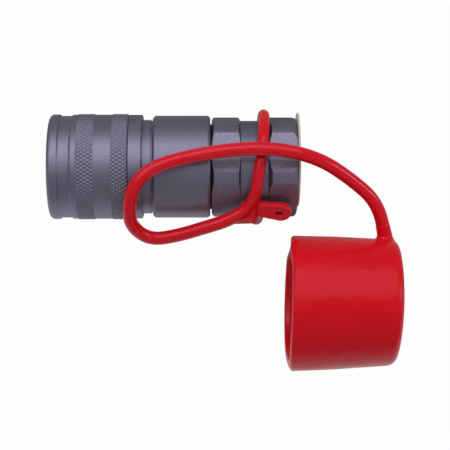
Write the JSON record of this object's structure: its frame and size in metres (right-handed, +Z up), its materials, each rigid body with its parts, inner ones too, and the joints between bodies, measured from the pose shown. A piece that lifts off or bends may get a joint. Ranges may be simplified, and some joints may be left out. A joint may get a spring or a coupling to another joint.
{
  "type": "flat face quick coupler",
  "caption": "Female half of a flat face hydraulic quick coupler with a knurled locking sleeve, hex adapter, plugged port and a red dust cap on a tether.",
  "frame": {"origin": "centre of the coupling face, on the coupler's axis in the plane of the sleeve's front rim", "axes": "+X along the coupler from the coupling face to the port, +Z up with the coupler lying on its side, the cap on the -Y side"},
  "size_m": [0.1398, 0.104, 0.0537],
  "materials": {
    "plated_steel": "satin, grey-violet zinc-nickel plating",
    "bright_steel": "fine turned",
    "spring_steel": "drawn wire",
    "ball_steel": "polished",
    "polyethylene": "natural, waxy",
    "red_pvc": "glossy soft PVC",
    "seal_rubber": "matte",
    "ptfe": "satin"
  },
  "bodies": {
    "coupler": {"socket_body": "plated_steel", "adapter": "plated_steel", "port_plug": "polyethylene", "locking_balls": "ball_steel", "sleeve_snap_ring": "spring_steel", "valve_stem": "bright_steel", "stem_seal": "seal_rubber", "stem_holder": "bright_steel", "stem_nut": "bright_steel", "holder_circlip": "spring_steel", "face_ring_spring": "spring_steel", "valve_spring": "spring_steel", "nipple_o_ring": "seal_rubber", "nipple_backup_ring": "ptfe", "tube_o_ring": "seal_rubber", "tube_backup_ring": "ptfe", "body_o_ring": "seal_rubber"},
    "spring_seat": {"sleeve_spring_washer": "bright_steel", "sleeve_spring": "spring_steel"},
    "sleeve": {"locking_sleeve": "plated_steel"},
    "front_ring": {"face_ring": "bright_steel"},
    "valve_tube": {"seal_tube": "bright_steel"},
    "cap_set": {"tether_ring": "red_pvc", "tether": "red_pvc", "dust_cap": "red_pvc"}
  },
  "joints": [
    {"name": "sleeve_turn", "type": "hinge", "parent": "coupler", "child": "spring_seat", "pos_m": [0.03, 0, 0], "axis": [1, 0, 0], "continuous": true},
    {"name": "sleeve_slide", "type": "slide", "parent": "spring_seat", "child": "sleeve", "axis": [1, 0, 0], "range_m": [0, 0.004], "stiffness_N_per_m": 5000, "springref_m": -0.005, "deforming": ["sleeve_spring"]},
    {"name": "face_ring_slide", "type": "slide", "parent": "coupler", "child": "front_ring", "axis": [1, 0, 0], "range_m": [0, 0.0108], "stiffness_N_per_m": 2000, "springref_m": -0.006, "deforming": ["face_ring_spring"]},
    {"name": "seal_tube_slide", "type": "slide", "parent": "coupler", "child": "valve_tube", "axis": [1, 0, 0], "range_m": [0, 0.0108], "stiffness_N_per_m": 2500, "springref_m": -0.006, "deforming": ["valve_spring"]},
    {"name": "cap_swivel", "type": "hinge", "parent": "coupler", "child": "cap_set", "pos_m": [0.0826, 0, 0], "axis": [1, 0, 0], "continuous": true}
  ]
}
